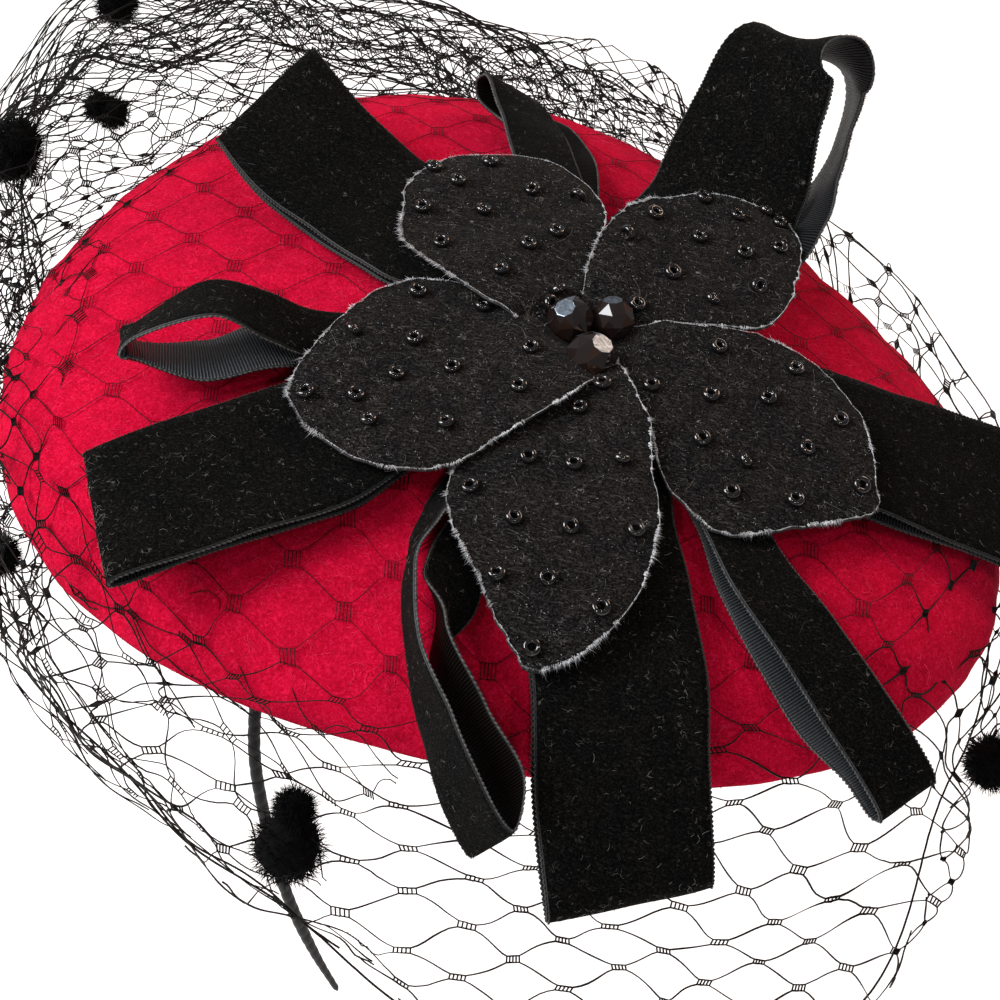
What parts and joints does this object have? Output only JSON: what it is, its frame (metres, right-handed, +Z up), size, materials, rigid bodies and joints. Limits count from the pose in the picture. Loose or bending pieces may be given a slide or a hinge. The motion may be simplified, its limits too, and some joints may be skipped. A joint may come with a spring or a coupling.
{
  "type": "fascinator",
  "caption": "Red felt fascinator on a wrapped headband, with a dotted black veil, velvet ribbon loops and a beaded velvet flower.",
  "frame": {"origin": "underside of the headband's top, where the piece sits on the head", "axes": "+Z up from the head, +Y towards the back of the view and away from the side that the front leg comes down on, +X to the right of it"},
  "size_m": [0.1968, 0.1933, 0.147],
  "materials": {
    "red_felt": "wool felt",
    "black_velvet": "velvet ribbon with a ribbed grey back",
    "flower_velvet": "cotton velvet with lint and a frayed edge",
    "black_net": "knotted millinery net",
    "chenille": "fluffy",
    "wrapped_wire": "satin ribbon wound round a wire",
    "jet_glass": "faceted",
    "seed_bead": "glossy glass bead"
  },
  "bodies": {
    "root": {"felt_base": "red_felt", "headband": "wrapped_wire", "veil": "black_net", "chenille_dot_1": "chenille", "chenille_dot_2": "chenille", "chenille_dot_3": "chenille", "chenille_dot_4": "chenille", "chenille_dot_5": "chenille", "chenille_dot_6": "chenille", "wide_loop_1": "black_velvet", "wide_loop_2": "black_velvet", "wide_loop_3": "black_velvet", "wide_loop_4": "black_velvet", "wide_loop_5": "black_velvet", "narrow_loop_1": "black_velvet", "narrow_loop_2": "black_velvet", "narrow_loop_3": "black_velvet", "narrow_loop_4": "black_velvet", "petal_1": "flower_velvet", "petal_2": "flower_velvet", "petal_3": "flower_velvet", "petal_4": "flower_velvet", "petal_5": "flower_velvet", "crystal_1": "jet_glass", "crystal_2": "jet_glass", "crystal_3": "jet_glass"}
  },
  "joints": []
}
